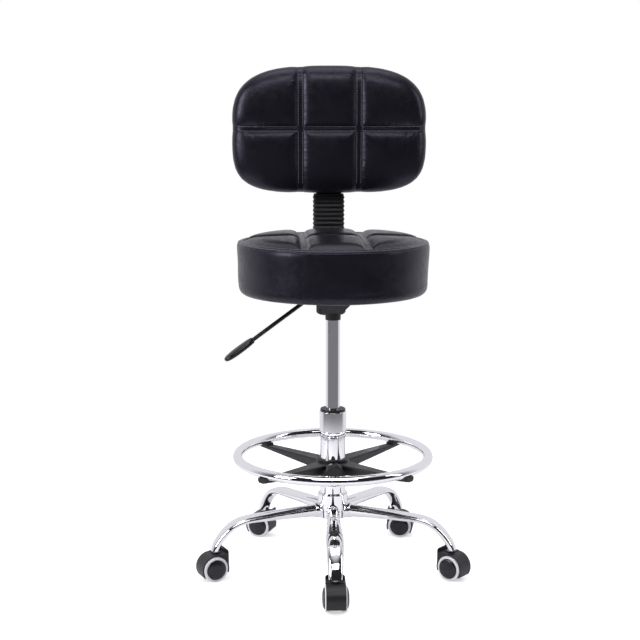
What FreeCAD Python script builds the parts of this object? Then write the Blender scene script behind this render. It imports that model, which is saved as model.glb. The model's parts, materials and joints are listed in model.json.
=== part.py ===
"""Drafting chair: five-leg chrome base on twin-wheel casters, sliding foot ring, gas lift,
round padded seat and a padded backrest on a bar inside a bellows sleeve.
Millimetres, +Z up, origin on the floor under the column, front of the chair towards -Y."""
import FreeCAD, Part
import math
import os

os.makedirs("parts", exist_ok=True)
Vector = FreeCAD.Vector
UP = Vector(0, 0, 1)
SIDEWAYS = Vector(1, 0, 0)
BACKWARD = Vector(0, 1, 0)

# Clearances
RUNNING = 0.05            # radial, between a shaft and the bore that turns or slides on it
SLIDING = 0.1             # each side, between the back bar and its guide
SCREW_GAP = 0.3           # between a clamp screw's tip and what it clamps
LOFT_DEGREE = 3           # keeps smooth lofts from swinging past their sections

# Casters
WHEEL_RADIUS = 25.0
WHEEL_INNER = 11.5        # from the caster's middle plane to the wheel's inner face
WHEEL_OUTER = 20.5        # from the caster's middle plane to the wheel's outer face
CAP_RADIUS = WHEEL_RADIUS - 5.0
CAP_RECESS = 2.5
CAP_DOME = 5.0
AXLE_RADIUS = 3.0
CASTER_TRAIL = WHEEL_RADIUS - 16.0
HOOD_RADIUS = WHEEL_RADIUS + 3.0
HOOD_HALF_WIDTH = 18.5
HOOD_WALL = 1.8
HOOD_FRONT = WHEEL_RADIUS + 2.0    # from the axle to the flat front wall
WEB_HALF_WIDTH = 6.0
STEM_PIN_RADIUS = 4.0
STEM_RADIUS = 4.5
STEM_FLANGE_RADIUS = 8.5
STEM_LENGTH = 13.0        # of the part inside the leg
HOOD_TOP = WHEEL_RADIUS + 30.5
HOOD_LIP = 5.0            # rise of the front wall above the rest of the hood
FLOOR_GAP = 9.5           # under the back of the hood

# Column tube
COLUMN_RADIUS = 25.0
COLUMN_WALL = 2.0
COLUMN_TOP = 322.0

# Base
STEM_CIRCLE = 242.0       # radius on which the caster stems stand
LEG_END = HOOD_TOP + 3.5  # height of the underside of each leg's end
LEG_ROOT_HEIGHT = LEG_END + 60.5   # height of the leg's centre line at the hub
LEG_ROOT_HALF_WIDTH = 12.0
LEG_ROOT_HALF_HEIGHT = 13.0
LEG_WIDENING = 4.6        # half width gained between the hub and the bend
LEG_THINNING = 5.8        # half thickness lost between the hub and the bend
LEG_BEND_REACH = 65.0     # from the start of the bend to the stem circle
LEG_BEND_RISE = 56.0      # from the leg's end up to the start of the bend
LEG_WALL = 1.8
LEG_POWERS = (2.3, 2.3)   # squareness of the leg's section
LEG_SOLID_END = 2         # last sections of the leg that are left solid around the stem
LEG_ANGLES = (268.7, 340.7, 52.7, 124.7, 196.7)
CASTER_TRAIL_ANGLES = (270.0, 319.0, 349.0, 157.0, 204.5)
HUB_RADIUS = COLUMN_RADIUS + 5.0
HUB_BOTTOM = LEG_ROOT_HEIGHT - 14.5
HUB_TOP = HUB_BOTTOM + 50.0

# Inside the column
COLUMN_FLOOR = 4.0        # thickness of the column's closed lower end
COLLAR_BOTTOM = 276.0
COLLAR_THICKNESS = 1.6
RING_GROOVE = 6.0         # height of the narrow step under the collar
BUSH_DEPTH = 70.0
BUSH_RIM = 5.0
BEARING_HEIGHT = 8.0
BEARING_RADIUS = 14.0
ROD_RADIUS = 5.0
ROD_NECK_RADIUS = 4.0
GAS_TUBE_RADIUS = 14.0
GAS_TUBE_BOTTOM = 284.0
GAS_TUBE_BORE = GAS_TUBE_RADIUS - 2.0
GAS_TUBE_END = 14.0       # length of the rod guide that closes the gas tube
LIFT_TRAVEL = 160.0
PISTON_HEIGHT = 10.0
TAPER_HEAD = GAS_TUBE_RADIUS - 1.0  # radius of the gas tube's tapered upper end
BUTTON_RADIUS = 2.5
BUTTON_LENGTH = 20.0

# Foot ring
RING_RADIUS = 200.0       # outside of the ring
RING_TUBE_RADIUS = 9.5
RING_TUBE_WALL = 1.6
RING_HEIGHT = 230.0       # height of the ring tube's centre
RING_HUB_RADIUS = COLUMN_RADIUS + 8.0
RING_HUB_HEIGHT = 27.0
RING_RIM_RADIUS = COLUMN_RADIUS + 5.0
RING_RIM_HEIGHT = 6.0
RING_BOSS_RADIUS = 11.0   # round the clamp screw
RING_BOSS_REACH = 7.0     # of the boss beyond the hub
SPOKE_ANGLES = (45, 135, 225, 315)
SPOKE_ROOT_HALF_WIDTH = 17.0
SPOKE_TIP_HALF_WIDTH = 9.0
SPOKE_ROOT_DEPTH = 23.0
SPOKE_TIP_DEPTH = 6.0
SPOKE_END = RING_RADIUS + 1.5
SADDLE_RISE = 3.5         # of the saddle round the ring tube, above its underside
RING_SCREW_RADIUS = 2.0
RING_KNOB_RADIUS = 21.0
RING_KNOB_LENGTH = 22.0
RING_KNOB_GAP = 1.5       # between the knob and the boss
CLAMP_SCREW_RADIUS = 4.0
KNOB_LOBES = 6

# Seat and its plate
SEAT_RADIUS = 188.0
SEAT_BOTTOM = 561.0
SEAT_SEAM = 658.0         # height of the seam around the top edge
SEAT_CROWN = 678.0
SEAT_TAPER = 3.0          # the side leans in by this much towards the bottom
SEAT_EDGE_ROUND = 15.0
BOARD_RADIUS = SEAT_RADIUS - 23.0
BOARD_THICKNESS = 12.0
PLATE_THICKNESS = 3.0
PLATE_HALF_WIDTH = 80.0
PLATE_FRONT = 70.0
PLATE_BACK = 135.0
PLATE_CORNER = 12.0
HOUSING_BOTTOM = 520.5
HOUSING_MOUTH = (50.0, 42.0)
HOUSING_WALL = 2.5
SOCKET_TOP = 538.0
SOCKET_RADIUS = GAS_TUBE_RADIUS + 2.5
HOUSING_FOOT = (SOCKET_RADIUS, SOCKET_RADIUS + 3.5)
CAP_HEIGHT = 14.5         # of the taper cap under the socket
BOLT_HALF_SPACING_X = 60.0
BOLT_ROWS = (-52.0, 62.0)
BOLT_RADIUS = 3.0
BOLT_HEAD_RADIUS = 6.0
BOLT_HEAD_HEIGHT = 4.0
TEE_NUT_RADIUS = 5.0

# Height lever
LEVER_ANGLE = 197.0
LEVER_RADIUS = 4.0
LEVER_HEIGHT = 549.0
LEVER_PIVOT = 30.0        # from the column axis
LEVER_BEND = 52.0
LEVER_SLOPE = 33.4        # degrees below level, outside the seat plate
HANDLE_START = 165.0
HANDLE_LENGTH = 67.0
HANDLE_POWERS = (2.4, 2.4)
LEVER_BEND_RADIUS = 10.0
PIVOT_PIN_RADIUS = 2.5
PIVOT_PIN_HALF = 8.5
LUG_NEAR = 5.0            # from the lever's middle plane to a lug
LUG_THICKNESS = 3.0

# Backrest
BAR_HALF_WIDTH = 26.0
BAR_THICKNESS = 6.0
BAR_HEIGHT = 543.0        # centre height of the level part
BAR_BACK = SEAT_RADIUS + 24.0      # centre of the upright part
BAR_BEND = 40.0
BAR_START = 50.0
BAR_TOP = 900.0
GUIDE_START = 45.0
GUIDE_WALL = 3.0
BACK_WIDTH = 398.0
BACK_TALL = 264.0
BACK_CENTRE = 873.0
BACK_TOP_POWER = 3.1      # squareness of the backrest's upper corners
BACK_LOW_POWER = 4.1      # squareness of its lower corners
BACK_PAD = 47.0
BACK_BOARD = 12.0
BACK_BOARD_INSET = 9.0
BELLOWS_START = 145.0
BELLOWS_CORNER = 5.0
BELLOWS_HALF_WIDTH = BAR_HALF_WIDTH + 9.0
BELLOWS_HALF_DEPTH = 15.0
BELLOWS_GROOVE = 4.3
BELLOWS_PITCH = 9.2
BELLOWS_GAP = 1.0         # between the sleeve and the bar inside it
BACK_KNOB_RADIUS = 30.0
BACK_KNOB_TOP = 525.0
BACK_KNOB_HEIGHT = 22.0
BACK_KNOB_PLACE = 92.0
BAR_CORNER = 16.0
BACK_SCREW_RADIUS = 2.5
BACK_SCREW_HEAD = 5.0
SCREW_ROWS = (800.0, 880.0)
SCREW_HALF_SPACING = 13.0


def export(name, shape):
    """Write one sub-part and print its size."""
    shape.exportStep("parts/" + name + ".step")
    box = shape.BoundBox
    print(name, len(shape.Solids), shape.isValid(), round(box.ZMin, 1), round(box.ZMax, 1))


def cylinder(radius, start, end, x=0.0, y=0.0):
    """Upright cylinder from one height to another."""
    return Part.makeCylinder(radius, end - start, Vector(x, y, start))


def cone(low_radius, high_radius, start, end):
    """Upright cone on the column axis."""
    return Part.makeCone(low_radius, high_radius, end - start, Vector(0, 0, start))


def box_between(low, high):
    """Box from its lowest corner to its highest corner."""
    low = Vector(*low)
    size = Vector(*high) - low
    return Part.makeBox(size.x, size.y, size.z, low)


def fused(shapes):
    """One clean shape out of several that touch."""
    whole = shapes[0].fuse(shapes[1:])
    return whole.removeSplitter()


def turned(shape, angle):
    """Copy turned about the column axis, in degrees."""
    copy = shape.copy()
    copy.rotate(Vector(0, 0, 0), UP, angle)
    return copy


def placed(shape, angle, radius, own_turn):
    """Copy turned about its own origin and then set at an angle and radius from the column."""
    copy = turned(shape, own_turn)
    copy.translate(Vector(radius * math.cos(math.radians(angle)), radius * math.sin(math.radians(angle)), 0))
    return copy


def superellipse(centre, across, along, half_width, half_height, powers, count=24):
    """Closed spline around a rounded outline, with one power for each half of it."""
    points = []
    for step in range(count):
        angle = 2 * math.pi * step / count
        cosine = math.cos(angle)
        sine = math.sin(angle)
        power = powers[0] if sine >= 0 else powers[1]
        out = half_width * math.copysign(abs(cosine) ** (2 / power), cosine)
        rise = half_height * math.copysign(abs(sine) ** (2 / power), sine)
        points.append(centre + across * out + along * rise)
    curve = Part.BSplineCurve()
    curve.interpolate(Points=points, PeriodicFlag=True)
    return Part.Wire(curve.toShape())


def revolved(points, axis_point, axis):
    """Solid of revolution from the corner points of a closed flat outline."""
    face = Part.Face(Part.makePolygon(points + [points[0]]))
    return face.revolve(axis_point, axis, 360)


def lobed_knob(radius, height, lobes):
    """Hand knob standing on the XY plane: a domed disc with finger scallops around it."""
    body = Part.makeCylinder(radius, height)
    body = body.makeFillet(0.28 * height, [edge for edge in body.Edges if edge.Closed])
    for index in range(lobes):
        angle = math.radians(360 * (index + 0.5) / lobes)
        place = Vector(1.22 * radius * math.cos(angle), 1.22 * radius * math.sin(angle), -1)
        body = body.cut(Part.makeCylinder(0.32 * radius, height + 2, place))
    return body


# Base -------------------------------------------------------------------------

def leg_stations():
    """Centre line of a leg as (radius, height, half width, half thickness)."""
    bend_start = STEM_CIRCLE - LEG_BEND_REACH
    root = 0.6 * HUB_RADIUS
    run = bend_start - root
    drop = LEG_ROOT_HEIGHT - (LEG_END + LEG_BEND_RISE)
    stations = []
    for step in range(8):
        share = step / 7
        half_width = LEG_ROOT_HALF_WIDTH + LEG_WIDENING * share ** 1.5
        half_height = LEG_ROOT_HALF_HEIGHT - LEG_THINNING * share
        stations.append((root + run * share, LEG_ROOT_HEIGHT - drop * share ** 2, half_width, half_height))
    for back, rise, half_width, half_height in (
        (42.0, 50.5, 16.6, 6.9),
        (26.0, 41.0, 16.0, 6.9),
        (14.0, 29.5, 15.0, 7.1),
        (4.5, 17.0, 14.0, 7.4),
        (-3.0, 2.0, 13.0, 7.8),
        (-8.0, -9.0, 12.6, 8.0),
    ):
        stations.append((STEM_CIRCLE - back, LEG_END + rise, half_width, half_height))
    return stations


def leg_skin(inset, left_out):
    """Loft through a leg's sections, drawn in by an inset, without the last few of them."""
    stations = leg_stations()
    wires = []
    for index in range(len(stations) - left_out):
        radius, height, half_width, half_height = stations[index]
        before = stations[max(index - 1, 0)]
        after = stations[min(index + 1, len(stations) - 1)]
        heading = Vector(after[0] - before[0], 0, after[1] - before[1]).normalize()
        normal = Vector(-heading.z, 0, heading.x)
        centre = Vector(radius, 0, height)
        wires.append(superellipse(centre, BACKWARD, normal, half_width - inset, half_height - inset, LEG_POWERS))
    return Part.makeLoft(wires, True, False, False, LOFT_DEGREE)


def make_leg():
    """One hollow leg along +X with the socket for a caster stem at its end."""
    outer = leg_skin(0.0, 0)
    outer = outer.cut(box_between((0, -60, LEG_END - 60), (STEM_CIRCLE + 60, 60, LEG_END)))
    hollow = leg_skin(LEG_WALL, LEG_SOLID_END)
    sleeve = cylinder(STEM_FLANGE_RADIUS, LEG_END, LEG_END + STEM_LENGTH + 3, STEM_CIRCLE)
    sleeve = sleeve.common(box_between((0, -60, 0), (STEM_CIRCLE, 60, 200)))
    leg = fused([outer.cut(hollow), sleeve])
    leg = leg.cut(cylinder(STEM_RADIUS, LEG_END - 1, LEG_END + STEM_LENGTH, STEM_CIRCLE))
    return leg.cut(cylinder(HUB_RADIUS, HUB_BOTTOM - 20, HUB_TOP + 20))


def make_base():
    """Hub, the five legs and the caster stems fixed in them."""
    hub = cylinder(HUB_RADIUS, HUB_BOTTOM, HUB_TOP)
    hub = hub.makeFillet(2.5, [edge for edge in hub.Edges if edge.Closed])
    hub = hub.cut(cylinder(COLUMN_RADIUS, HUB_BOTTOM - 1, HUB_TOP + 1))
    export("base_hub", hub)
    leg = make_leg()
    export("base_legs", Part.Compound([turned(leg, angle) for angle in LEG_ANGLES]))
    pin = cylinder(STEM_PIN_RADIUS, HOOD_TOP - 20.5, LEG_END - 2)
    flange = cylinder(STEM_FLANGE_RADIUS, HOOD_TOP + 0.5, LEG_END)
    stem = cylinder(STEM_RADIUS, LEG_END - 1, LEG_END + STEM_LENGTH - 0.5)
    whole = fused([pin, flange, stem])
    export("caster_stems", Part.Compound([placed(whole, angle, STEM_CIRCLE, 0) for angle in LEG_ANGLES]))


# Casters, each built with its stem on the Z axis and trailing along +X ----------

def make_hood():
    """Hood with the middle web, the boss for the stem and the boss for the axle."""
    width = 2 * HOOD_HALF_WIDTH
    axle = Vector(CASTER_TRAIL, -HOOD_HALF_WIDTH, WHEEL_RADIUS)
    front = CASTER_TRAIL - HOOD_FRONT
    dome = Part.makeCylinder(HOOD_RADIUS, width, axle, BACKWARD)
    block = box_between((front, -HOOD_HALF_WIDTH, 16), (CASTER_TRAIL, HOOD_HALF_WIDTH, HOOD_TOP - 1.5))
    front_edges = []
    for edge in block.Edges:
        middle = edge.BoundBox
        if middle.XMax < front + 0.1 and middle.ZMin > HOOD_TOP - 3:
            front_edges.append(edge)
    block = block.makeFillet(3.0, front_edges)
    lip = box_between((front, -HOOD_HALF_WIDTH, 20), (front + HOOD_WALL, HOOD_HALF_WIDTH, HOOD_TOP + HOOD_LIP))
    lip_corners = [edge for edge in lip.Edges if edge.BoundBox.ZMin > HOOD_TOP and edge.BoundBox.YLength < 0.1]
    lip = lip.makeFillet(HOOD_LIP, lip_corners)
    shell = fused([dome, block, lip])
    shell = shell.cut(box_between((-60, -30, -10), (80, 30, FLOOR_GAP)))
    shell = shell.cut(box_between((-60, -30, -10), (CASTER_TRAIL - 14, 30, 16)))
    cavity = HOOD_RADIUS - HOOD_WALL
    for side in (-1, 1):
        start = Vector(CASTER_TRAIL, side * WEB_HALF_WIDTH, WHEEL_RADIUS)
        shell = shell.cut(Part.makeCylinder(cavity, width, start, BACKWARD * side))
    stem_boss = cylinder(STEM_FLANGE_RADIUS, HOOD_TOP - 24, HOOD_TOP)
    axle_start = Vector(CASTER_TRAIL, -WHEEL_INNER + 0.5, WHEEL_RADIUS)
    axle_boss = Part.makeCylinder(2.6 * AXLE_RADIUS, 2 * WHEEL_INNER - 1, axle_start, BACKWARD)
    hood = fused([shell, stem_boss, axle_boss])
    hood = hood.cut(cylinder(STEM_PIN_RADIUS + RUNNING, HOOD_TOP - 21, HOOD_TOP + 1))
    bore_start = Vector(CASTER_TRAIL, -30, WHEEL_RADIUS)
    return hood.cut(Part.makeCylinder(AXLE_RADIUS, 60, bore_start, BACKWARD))


def make_axle():
    """Steel pin through the hood that carries both wheels."""
    half = WHEEL_OUTER - CAP_RECESS - 0.5
    return Part.makeCylinder(AXLE_RADIUS, 2 * half, Vector(CASTER_TRAIL, -half, WHEEL_RADIUS), BACKWARD)


def make_wheel():
    """Wheel on the +Y side: rounded tread, bore for the axle and a recess for its cap."""
    bore = AXLE_RADIUS + RUNNING
    outline = [
        (bore, WHEEL_INNER),
        (WHEEL_RADIUS - 1.5, WHEEL_INNER),
        (WHEEL_RADIUS - 0.4, WHEEL_INNER + 0.5),
        (WHEEL_RADIUS, WHEEL_INNER + 1.6),
        (WHEEL_RADIUS, WHEEL_OUTER - 2.4),
        (WHEEL_RADIUS - 0.7, WHEEL_OUTER - 0.8),
        (WHEEL_RADIUS - 2.2, WHEEL_OUTER),
        (CAP_RADIUS, WHEEL_OUTER),
        (CAP_RADIUS, WHEEL_OUTER - CAP_RECESS),
        (bore, WHEEL_OUTER - CAP_RECESS),
    ]
    points = [Vector(CASTER_TRAIL, out, WHEEL_RADIUS + radius) for radius, out in outline]
    return revolved(points, Vector(CASTER_TRAIL, 0, WHEEL_RADIUS), BACKWARD)


def make_cap():
    """Domed hub cap pressed into the wheel's recess on the +Y side."""
    inner = WHEEL_OUTER - CAP_RECESS
    edges = [(0, inner), (CAP_RADIUS, inner), (CAP_RADIUS, WHEEL_OUTER + 0.6)]
    for step in range(1, 7):
        angle = math.radians(15 * step)
        edges.append((CAP_RADIUS * math.cos(angle), WHEEL_OUTER + 0.6 + (CAP_DOME - 0.6) * math.sin(angle)))
    points = [Vector(CASTER_TRAIL, out, WHEEL_RADIUS + radius) for radius, out in edges]
    return revolved(points, Vector(CASTER_TRAIL, 0, WHEEL_RADIUS), BACKWARD)


def make_casters():
    """Five casters, each swivelled its own way."""
    across = (Vector(0, 0, 0), BACKWARD)
    wheel = make_wheel()
    cap = make_cap()
    pieces = {
        "hood": make_hood(),
        "axle": make_axle(),
        "wheel_right": wheel,
        "cap_right": cap,
        "wheel_left": wheel.mirror(*across),
        "cap_left": cap.mirror(*across),
    }
    for index in range(len(LEG_ANGLES)):
        for name, shape in pieces.items():
            copy = placed(shape, LEG_ANGLES[index], STEM_CIRCLE, CASTER_TRAIL_ANGLES[index])
            export("caster_" + str(index + 1) + "_" + name, copy)


# Column and gas lift ------------------------------------------------------------

def make_column():
    """Column tube, its collar, its plastic bush and the thrust bearing on its floor."""
    inner = COLUMN_RADIUS - COLUMN_WALL
    bearing_bottom = HUB_BOTTOM + COLUMN_FLOOR
    tube = cylinder(COLUMN_RADIUS, HUB_BOTTOM, COLUMN_TOP)
    tube = tube.cut(cylinder(inner, bearing_bottom, COLUMN_TOP + 1))
    tube = tube.cut(cylinder(ROD_NECK_RADIUS + 1, HUB_BOTTOM - 1, bearing_bottom + 1))
    export("column_tube", tube)
    collar = cylinder(COLUMN_RADIUS + COLLAR_THICKNESS, COLLAR_BOTTOM, COLUMN_TOP)
    collar = collar.makeFillet(0.8, [edge for edge in collar.Edges if edge.Closed])
    step = cylinder(COLUMN_RADIUS + COLLAR_THICKNESS / 2, COLLAR_BOTTOM - RING_GROOVE, COLLAR_BOTTOM + 2)
    collar = fused([collar, step]).cut(cylinder(COLUMN_RADIUS, COLLAR_BOTTOM - 20, COLUMN_TOP + 1))
    dimple = Vector(0, -COLUMN_RADIUS - COLLAR_THICKNESS - 1, COLUMN_TOP - 8)
    collar = collar.cut(Part.makeCylinder(1.6, COLLAR_THICKNESS + 0.8, dimple, BACKWARD))
    export("column_collar", collar)
    bush = cylinder(inner, COLUMN_TOP - BUSH_DEPTH, COLUMN_TOP)
    rim = cylinder(COLUMN_RADIUS, COLUMN_TOP, COLUMN_TOP + BUSH_RIM)
    rim = rim.makeFillet(1.5, [rim.Edges[0]])
    bush = fused([bush, rim])
    bush = bush.cut(cylinder(GAS_TUBE_RADIUS + RUNNING, COLUMN_TOP - BUSH_DEPTH - 1, COLUMN_TOP + BUSH_RIM + 1))
    export("column_bush", bush)
    bearing = cylinder(BEARING_RADIUS, bearing_bottom, bearing_bottom + BEARING_HEIGHT)
    groove = Part.makeTorus(BEARING_RADIUS + 0.6, 1.4, Vector(0, 0, bearing_bottom + BEARING_HEIGHT / 2))
    bearing = bearing.cut(groove)
    bearing = bearing.cut(cylinder(ROD_NECK_RADIUS + RUNNING, bearing_bottom - 1, HUB_TOP))
    export("thrust_bearing", bearing)


def make_gas_lift():
    """Piston rod on the bearing, the gas tube that slides on it and the release button."""
    seat_face = HUB_BOTTOM + COLUMN_FLOOR + BEARING_HEIGHT + RUNNING
    piston_bottom = GAS_TUBE_BOTTOM + GAS_TUBE_END + SCREW_GAP
    neck = cylinder(ROD_NECK_RADIUS, HUB_BOTTOM - 4, seat_face + 1)
    clip = cylinder(ROD_NECK_RADIUS + 4, HUB_BOTTOM - 4, HUB_BOTTOM - 2)
    rod = cylinder(ROD_RADIUS, seat_face, piston_bottom + 1)
    piston = cylinder(GAS_TUBE_BORE - RUNNING, piston_bottom, piston_bottom + PISTON_HEIGHT)
    export("piston_rod", fused([neck, clip, rod, piston]))

    chamber_top = piston_bottom + PISTON_HEIGHT + LIFT_TRAVEL + 20
    straight = cylinder(GAS_TUBE_RADIUS, GAS_TUBE_BOTTOM, HOUSING_BOTTOM - CAP_HEIGHT)
    taper = cone(GAS_TUBE_RADIUS, TAPER_HEAD, HOUSING_BOTTOM - CAP_HEIGHT, SOCKET_TOP)
    tube = fused([straight, taper])
    tube = tube.cut(cylinder(ROD_RADIUS + RUNNING, GAS_TUBE_BOTTOM - 1, GAS_TUBE_BOTTOM + GAS_TUBE_END + 1))
    tube = tube.cut(cylinder(GAS_TUBE_BORE, GAS_TUBE_BOTTOM + GAS_TUBE_END, chamber_top))
    button_top = LEVER_HEIGHT - LEVER_RADIUS - 0.5
    button_bottom = button_top - BUTTON_LENGTH
    tube = tube.cut(cylinder(BUTTON_RADIUS + RUNNING, button_bottom - 6, SOCKET_TOP + 1))
    export("gas_tube", tube)
    button = cylinder(BUTTON_RADIUS, button_bottom, button_top)
    export("release_button", button.makeFillet(0.4, [edge for edge in button.Edges if edge.Closed]))


# Foot ring ----------------------------------------------------------------------

def make_spoke():
    """One spoke along +X with the saddle that holds the ring tube from below."""
    top = RING_HEIGHT - RING_TUBE_RADIUS - 0.5
    wires = []
    for radius, half_width, depth in (
        (0.8 * RING_HUB_RADIUS, SPOKE_ROOT_HALF_WIDTH, SPOKE_ROOT_DEPTH),
        (SPOKE_END, SPOKE_TIP_HALF_WIDTH, SPOKE_TIP_DEPTH),
    ):
        corners = [
            Vector(radius, -half_width, top),
            Vector(radius, half_width, top),
            Vector(radius, 0.75 * half_width, top - depth),
            Vector(radius, -0.75 * half_width, top - depth),
        ]
        wires.append(Part.makePolygon(corners + [corners[0]]))
    beam = Part.makeLoft(wires, True, True)
    long_edges = [edge for edge in beam.Edges if edge.Length > 0.5 * SPOKE_END]
    beam = beam.makeFillet(2.5, long_edges)
    inside = RING_RADIUS - 2 * RING_TUBE_RADIUS - 4
    saddle = box_between(
        (inside, -SPOKE_TIP_HALF_WIDTH, top - 3),
        (SPOKE_END, SPOKE_TIP_HALF_WIDTH, top + SADDLE_RISE),
    )
    return fused([beam, saddle])


def make_foot_ring():
    """Chrome ring, the plastic spider that carries it, its screws and the lock knob."""
    centre_radius = RING_RADIUS - RING_TUBE_RADIUS
    centre = Vector(0, 0, RING_HEIGHT)
    solid_ring = Part.makeTorus(centre_radius, RING_TUBE_RADIUS, centre)
    screw_low = RING_HEIGHT - RING_TUBE_RADIUS - SPOKE_TIP_DEPTH - 0.5
    screw_high = RING_HEIGHT - RING_TUBE_RADIUS + 4
    shank = cylinder(RING_SCREW_RADIUS, screw_low, screw_high, centre_radius)
    head = cylinder(2 * RING_SCREW_RADIUS, screw_low - 2, screw_low, centre_radius)
    screws = [turned(fused([shank, head]), angle) for angle in SPOKE_ANGLES]
    shanks = Part.Compound([turned(shank, angle) for angle in SPOKE_ANGLES])
    bore = Part.makeTorus(centre_radius, RING_TUBE_RADIUS - RING_TUBE_WALL, centre)
    export("foot_ring", solid_ring.cut(bore).cut(shanks))
    export("ring_screws", Part.Compound(screws))

    top = RING_HEIGHT - RING_TUBE_RADIUS - 0.5
    bottom = top - RING_HUB_HEIGHT
    hub = cylinder(RING_HUB_RADIUS, bottom, top)
    rim = cylinder(RING_RIM_RADIUS, top - 1, top + RING_RIM_HEIGHT)
    rim = rim.makeFillet(1.5, [rim.Edges[0]])
    knob_height = 0.5 * (top + bottom) - 1
    boss_end = RING_HUB_RADIUS + RING_BOSS_REACH
    boss = Part.makeCylinder(RING_BOSS_RADIUS, boss_end, Vector(0, 0, knob_height), -BACKWARD)
    spokes = [turned(make_spoke(), angle) for angle in SPOKE_ANGLES]
    spider = fused([hub, rim, boss] + spokes)
    spider = spider.cut(cylinder(COLUMN_RADIUS + RUNNING, bottom - 1, top + RING_RIM_HEIGHT + 1))
    screw_hole = Part.makeCylinder(CLAMP_SCREW_RADIUS + RUNNING, boss_end, Vector(0, 0, knob_height), -BACKWARD)
    spider = spider.cut(screw_hole)
    pocket = cylinder(2 * RING_SCREW_RADIUS + 0.3, screw_low - 20, screw_low, centre_radius)
    pockets = Part.Compound([turned(pocket, angle) for angle in SPOKE_ANGLES])
    export("ring_spider", spider.cut(solid_ring).cut(shanks).cut(pockets))

    screw_start = COLUMN_RADIUS + SCREW_GAP
    knob_start = boss_end + RING_KNOB_GAP
    screw = Part.makeCylinder(CLAMP_SCREW_RADIUS, knob_start + 2 - screw_start)
    screw.translate(Vector(0, 0, screw_start - knob_start))
    knob = fused([lobed_knob(RING_KNOB_RADIUS, RING_KNOB_LENGTH, KNOB_LOBES), screw])
    knob.rotate(Vector(0, 0, 0), SIDEWAYS, 90)
    knob.translate(Vector(0, -knob_start, knob_height))
    export("ring_lock_knob", knob)


# Seat ---------------------------------------------------------------------------

def bolt_places():
    """Centres of the four bolts between the plate and the board."""
    return [(side * BOLT_HALF_SPACING_X, row) for side in (-1, 1) for row in BOLT_ROWS]


def make_seat():
    """Plywood board, cushion, tee nuts and the bolts of the plate."""
    board_top = SEAT_BOTTOM + BOARD_THICKNESS
    holes = [cylinder(TEE_NUT_RADIUS, SEAT_BOTTOM, board_top, x, y) for x, y in bolt_places()]
    holes = Part.Compound(holes)
    board = cylinder(BOARD_RADIUS, SEAT_BOTTOM, board_top)
    export("seat_board", board.cut(holes))
    shanks = [cylinder(BOLT_RADIUS, SEAT_BOTTOM - PLATE_THICKNESS - 1, board_top, x, y) for x, y in bolt_places()]
    shanks = Part.Compound(shanks)
    export("tee_nuts", holes.cut(shanks))
    bolts = []
    low = SEAT_BOTTOM - PLATE_THICKNESS - BOLT_HEAD_HEIGHT
    for x, y in bolt_places():
        corners = []
        for step in range(7):
            angle = math.radians(60 * step)
            corners.append(Vector(x + BOLT_HEAD_RADIUS * math.cos(angle), y + BOLT_HEAD_RADIUS * math.sin(angle), low))
        head = Part.Face(Part.makePolygon(corners)).extrude(UP * BOLT_HEAD_HEIGHT)
        bolts.append(fused([head, cylinder(BOLT_RADIUS, low + 2, board_top - 1, x, y)]))
    export("seat_bolts", Part.Compound(bolts))

    bottom_radius = SEAT_RADIUS - SEAT_TAPER
    corner = SEAT_EDGE_ROUND * (1 - math.sqrt(0.5))
    start = Vector(0, 0, board_top)
    inner_top = Vector(BOARD_RADIUS, 0, board_top)
    inner_low = Vector(BOARD_RADIUS, 0, SEAT_BOTTOM)
    round_start = Vector(bottom_radius - SEAT_EDGE_ROUND, 0, SEAT_BOTTOM)
    round_middle = Vector(bottom_radius - corner, 0, SEAT_BOTTOM + corner)
    round_end = Vector(bottom_radius, 0, SEAT_BOTTOM + SEAT_EDGE_ROUND)
    seam = Vector(SEAT_RADIUS, 0, SEAT_SEAM)
    crown = Vector(0, 0, SEAT_CROWN)
    rise = SEAT_CROWN - SEAT_SEAM
    top_curve = Part.BSplineCurve()
    top_curve.interpolate(Points=[
        seam,
        Vector(0.955 * SEAT_RADIUS, 0, SEAT_SEAM + 0.5 * rise),
        Vector(0.8 * SEAT_RADIUS, 0, SEAT_SEAM + 0.8 * rise),
        Vector(0.4 * SEAT_RADIUS, 0, SEAT_SEAM + 0.96 * rise),
        crown,
    ])
    edges = [
        Part.makeLine(start, inner_top),
        Part.makeLine(inner_top, inner_low),
        Part.makeLine(inner_low, round_start),
        Part.Arc(round_start, round_middle, round_end).toShape(),
        Part.makeLine(round_end, seam),
        top_curve.toShape(),
        Part.makeLine(crown, start),
    ]
    cushion = Part.Face(Part.Wire(edges)).revolve(Vector(0, 0, 0), UP, 360)
    export("seat_cushion", cushion)


def housing_shell(inset, bottom, top):
    """Four-sided funnel between the housing's foot and its mouth, drawn in by an inset."""
    wires = []
    for height, half in ((bottom, HOUSING_FOOT), (top, HOUSING_MOUTH)):
        half_x = half[0] - inset
        half_y = half[1] - inset
        corners = [
            Vector(-half_x, -half_y, height),
            Vector(half_x, -half_y, height),
            Vector(half_x, half_y, height),
            Vector(-half_x, half_y, height),
        ]
        wires.append(Part.makePolygon(corners + [corners[0]]))
    return Part.makeLoft(wires, True, True)


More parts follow.
